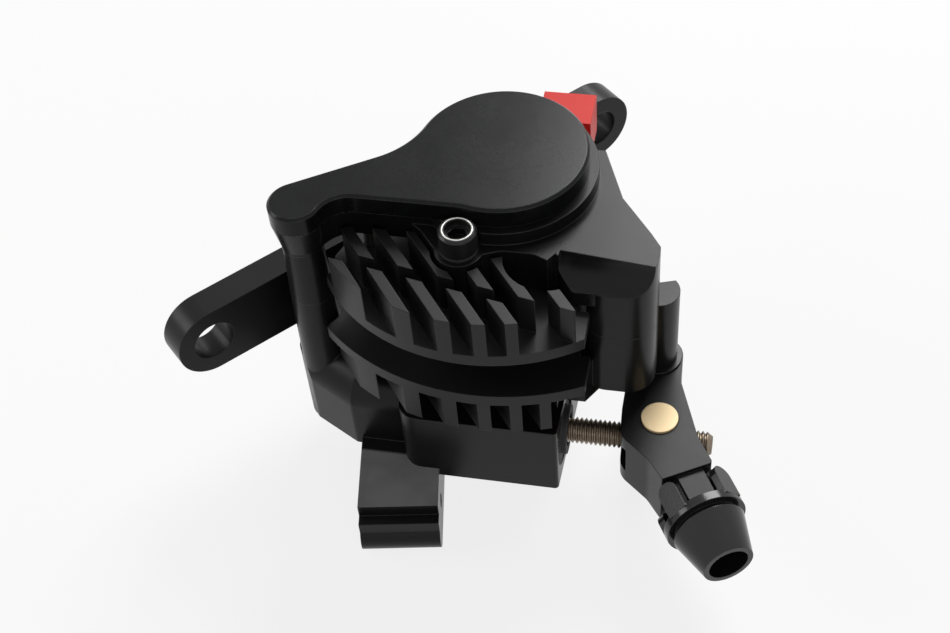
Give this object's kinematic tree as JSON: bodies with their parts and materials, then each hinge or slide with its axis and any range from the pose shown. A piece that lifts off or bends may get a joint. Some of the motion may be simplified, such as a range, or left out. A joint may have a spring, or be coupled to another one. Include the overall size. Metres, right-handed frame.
{
  "type": "disc brake caliper",
  "caption": "Two-piece bicycle disc brake caliper with a lever-driven master cylinder, finned pads and a barrel adjuster.",
  "frame": {"origin": "pad and wheel piston axis at the middle of the rotor slot", "axes": "+Z along the wheel axle towards the reservoir cover, +Y towards the wheel hub, +X along the rotor's tangent and the push rod"},
  "size_m": [0.0907, 0.084, 0.0535],
  "materials": {
    "body_black": "satin",
    "cover_black": "satin",
    "fin_black": "satin",
    "lever_black": "satin",
    "knob_black": "gloss",
    "steel": "satin",
    "rod_steel": "threaded",
    "black_steel": "satin",
    "brass": "turned",
    "piston_alloy": "turned",
    "lining_brown": "rough",
    "spacer_red": "gloss",
    "rubber": "matte"
  },
  "bodies": {
    "frame": {"upper_body": "body_black", "lower_body": "body_black", "reservoir_cover": "cover_black", "diaphragm": "rubber", "bleed_screw": "black_steel", "bleed_seal": "rubber", "body_bolt_left": "steel", "body_bolt_right": "steel", "passage_seal": "rubber", "upper_piston_seal": "rubber", "lower_piston_seal": "rubber", "pad_pin": "steel", "pad_spring": "steel", "return_spring": "steel", "stop_washer": "steel", "retaining_ring": "steel", "dust_boot": "rubber", "cable_clamp_screw": "steel", "pivot_bolt": "black_steel", "pivot_washer": "black_steel", "lever_spring": "steel"},
    "lever": {"lever_arm": "lever_black", "pivot_bush": "brass", "adjuster_spring": "steel"},
    "link": {"push_rod": "rod_steel", "trunnion": "brass"},
    "master": {"master_piston": "piston_alloy", "primary_cup": "rubber", "secondary_cup": "rubber"},
    "upper_wheel_piston": {"upper_piston": "piston_alloy"},
    "lower_wheel_piston": {"lower_piston": "piston_alloy"},
    "upper_pad": {"upper_pad_carrier": "fin_black", "upper_pad_lining": "lining_brown"},
    "lower_pad": {"lower_pad_carrier": "fin_black", "lower_pad_lining": "lining_brown"},
    "spacer": {"pad_spacer": "spacer_red"},
    "barrel": {"adjuster_barrel": "black_steel"},
    "knob": {"adjuster_knob": "knob_black"}
  },
  "joints": [
    {"name": "lever_pivot", "type": "hinge", "parent": "frame", "child": "lever", "pos_m": [0.0236, -0.0075, -0.0201], "axis": [0, 0, -1], "range_deg": [0, 20], "stiffness_Nm_per_rad": 0.05, "springref_deg": -11.46},
    {"name": "trunnion_pivot", "type": "hinge", "parent": "lever", "child": "link", "pos_m": [0.0254, -0.0194, -0.0201], "axis": [0, 0, 1], "range_deg": [0, 22]},
    {"name": "master_slide", "type": "slide", "parent": "frame", "child": "master", "axis": [-1, 0, 0], "range_m": [0, 0.0042], "deforming": ["return_spring"]},
    {"name": "upper_piston_slide", "type": "slide", "parent": "frame", "child": "upper_wheel_piston", "axis": [0, 0, -1], "range_m": [0, 0.00035]},
    {"name": "lower_piston_slide", "type": "slide", "parent": "frame", "child": "lower_wheel_piston", "axis": [0, 0, 1], "range_m": [0, 0.00035]},
    {"name": "upper_pad_slide", "type": "slide", "parent": "frame", "child": "upper_pad", "axis": [0, 0, -1], "range_m": [0, 0.00035]},
    {"name": "lower_pad_slide", "type": "slide", "parent": "frame", "child": "lower_pad", "axis": [0, 0, 1], "range_m": [0, 0.00035]},
    {"name": "barrel_slide", "type": "slide", "parent": "lever", "child": "barrel", "axis": [0.5, -0.866, 0], "range_m": [0, 0.0032]},
    {"name": "knob_turn", "type": "hinge", "parent": "barrel", "child": "knob", "pos_m": [0.0375, -0.0397, -0.0201], "axis": [0.5, -0.866, 0], "range_deg": [0, 1440]},
    {"name": "spacer_pull", "type": "slide", "parent": "frame", "child": "spacer", "axis": [0, 1, 0], "range_m": [0, 0.035]}
  ],
  "couplings": [
    {"joint": "trunnion_pivot", "follows": "lever_pivot", "ratio": 1},
    {"joint": "master_slide", "follows": "lever_pivot", "m_per_rad": 0.011971},
    {"joint": "upper_piston_slide", "follows": "lever_pivot", "m_per_rad": 0.001},
    {"joint": "lower_piston_slide", "follows": "lever_pivot", "m_per_rad": 0.001},
    {"joint": "upper_pad_slide", "follows": "lever_pivot", "m_per_rad": 0.001},
    {"joint": "lower_pad_slide", "follows": "lever_pivot", "m_per_rad": 0.001},
    {"joint": "barrel_slide", "follows": "knob_turn", "m_per_rad": 0.0001273}
  ]
}
